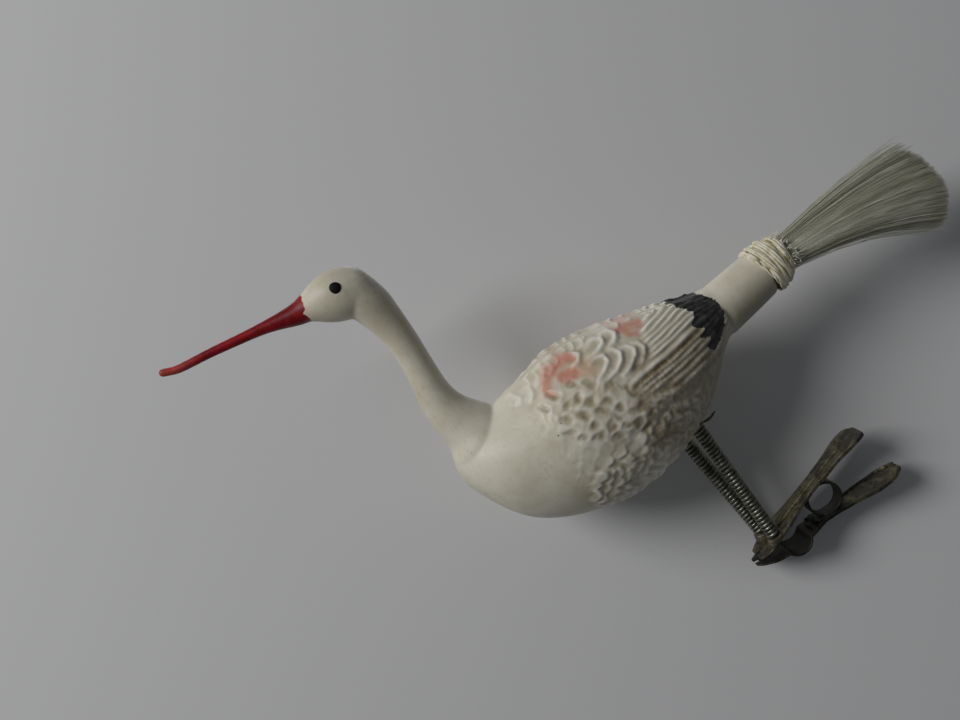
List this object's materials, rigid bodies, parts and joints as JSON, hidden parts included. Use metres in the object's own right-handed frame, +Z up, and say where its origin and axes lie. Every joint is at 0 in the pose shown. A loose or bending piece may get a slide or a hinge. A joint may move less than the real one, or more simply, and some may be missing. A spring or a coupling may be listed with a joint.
{
  "type": "clip-on stork ornament",
  "caption": "hollow blown-glass stork with a spun-glass tail brush, on coil-spring legs that stand on a sprung tinplate branch clip",
  "frame": {"origin": "centre of the branch grip, on the axis of the two half-round grooves in the clip's jaws", "axes": "+Z up with the bird standing over the clip, the beak towards -X and the tail brush towards +X, +Y to the bird's right; the branch lies along Y"},
  "size_m": [0.1428, 0.0306, 0.1037],
  "materials": {
    "white_glass": "satin",
    "red_glass": "satin",
    "eye_black": "gloss",
    "spun_glass": "satin",
    "binding_thread": "matte",
    "plaster": "matte",
    "spring_wire": "satin",
    "tinplate": "satin",
    "solder": "matte"
  },
  "bodies": {
    "clip_body": {"clip_upper_plate": "tinplate", "clip_ring_spring": "spring_wire", "solder_left": "solder", "solder_right": "solder"},
    "clip_jaw": {"clip_lower_plate": "tinplate"},
    "legs": {"leg_spring_left": "spring_wire", "leg_spring_right": "spring_wire"},
    "bird": {"glass_bird": "white_glass", "beak": "red_glass", "eye_left": "eye_black", "eye_right": "eye_black", "tail_brush": "spun_glass", "tail_plug": "plaster", "tail_binding": "binding_thread", "belly_plug": "plaster", "leg_tongue": "tinplate"}
  },
  "joints": [
    {"name": "clip_open", "type": "hinge", "parent": "clip_body", "child": "clip_jaw", "pos_m": [0.0097, 0, 0.0029], "axis": [0, -1, 0], "range_deg": [0, 22], "stiffness_Nm_per_rad": 0.05, "springref_deg": -22.92, "deforming": ["clip_ring_spring"]},
    {"name": "leg_sway", "type": "hinge", "parent": "clip_body", "child": "legs", "pos_m": [-0.0041, 0, 0.0101], "axis": [1, 0, 0], "range_deg": [-10, 10], "stiffness_Nm_per_rad": 0.07, "deforming": ["leg_spring_left", "leg_spring_right"]},
    {"name": "leg_nod", "type": "hinge", "parent": "legs", "child": "bird", "pos_m": [-0.00545, 0, 0.0245], "axis": [0, 1, 0], "range_deg": [-12, 12], "stiffness_Nm_per_rad": 0.03, "springref_deg": 2.24, "deforming": ["leg_spring_left", "leg_spring_right"]}
  ]
}
